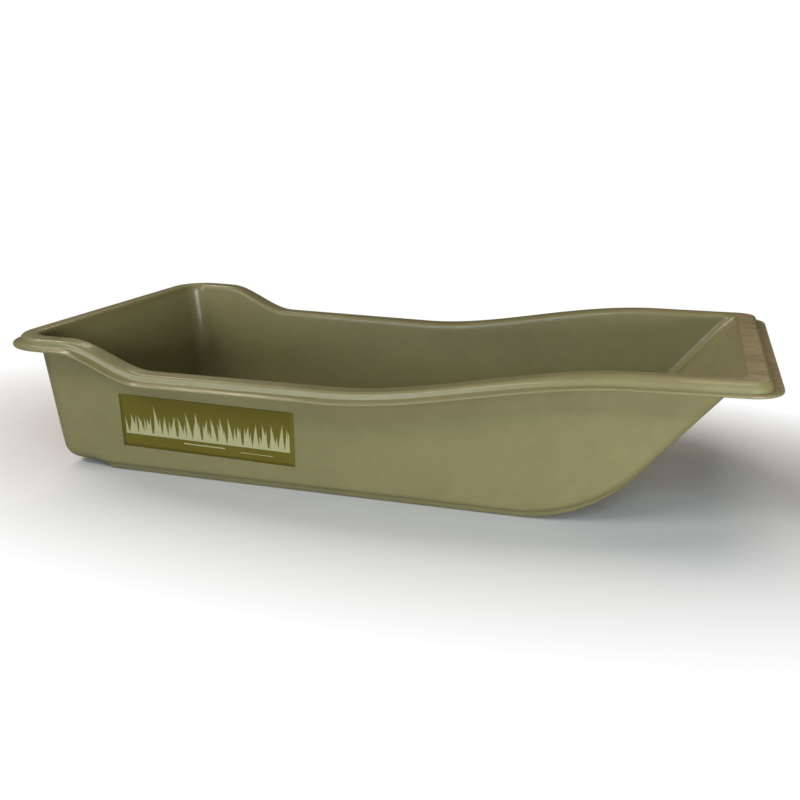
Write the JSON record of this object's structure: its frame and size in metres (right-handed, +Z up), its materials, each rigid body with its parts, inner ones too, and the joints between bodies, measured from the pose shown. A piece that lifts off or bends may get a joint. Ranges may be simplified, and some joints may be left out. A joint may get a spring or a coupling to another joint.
{
  "type": "sport sled",
  "caption": "Open-topped tub sled thermoformed from one plastic sheet, with a raked bow, low waisted sides, a stepped rim with a flared lip, moulded-in runners and a plain side label.",
  "frame": {"origin": "on the ground under the middle of the sled, half way between the two ends of the rim and between its sides", "axes": "+X to the raked bow, +Z up, +Y to the side without the label"},
  "size_m": [1.3727, 0.6822, 0.2842],
  "materials": {
    "moulded_plastic": "satin, lightly orange-peeled thermoformed polyethylene in olive tan",
    "label_film": "matt dark olive adhesive film"
  },
  "bodies": {
    "root": {"hull": "moulded_plastic", "side_label": "label_film"}
  },
  "joints": []
}
